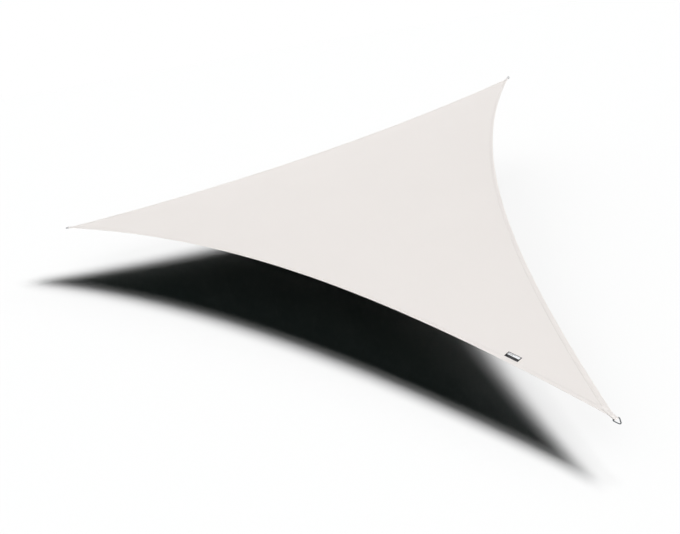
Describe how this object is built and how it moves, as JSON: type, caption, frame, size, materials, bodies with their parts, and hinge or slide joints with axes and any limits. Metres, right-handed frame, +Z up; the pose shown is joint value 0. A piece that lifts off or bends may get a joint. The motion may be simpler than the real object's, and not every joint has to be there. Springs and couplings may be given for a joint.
{
  "type": "triangular shade sail",
  "caption": "Triangular shade sail of knitted cloth: inward-curved hemmed edges, a webbing tab and a steel ring at each corner, hung at a slight slope.",
  "frame": {"origin": "where a hook pulls on the inside of the high corner's ring, at the ring's outer end", "axes": "+X from the middle-height corner towards the low corner, +Y from that edge towards the high corner, +Z up"},
  "size_m": [5.025, 4.303, 0.7967],
  "materials": {
    "cloth": "off-white knitted shade cloth, matt",
    "webbing": "off-white woven webbing, matt",
    "ring_steel": "bent and welded wire, satin",
    "label": "printed two-tone label"
  },
  "bodies": {
    "root": {"sail_cloth": "cloth", "tab_low": "webbing", "tab_mid": "webbing", "tab_high": "webbing", "ring_low": "ring_steel", "ring_mid": "ring_steel", "ring_high": "ring_steel", "label": "label"}
  },
  "joints": []
}
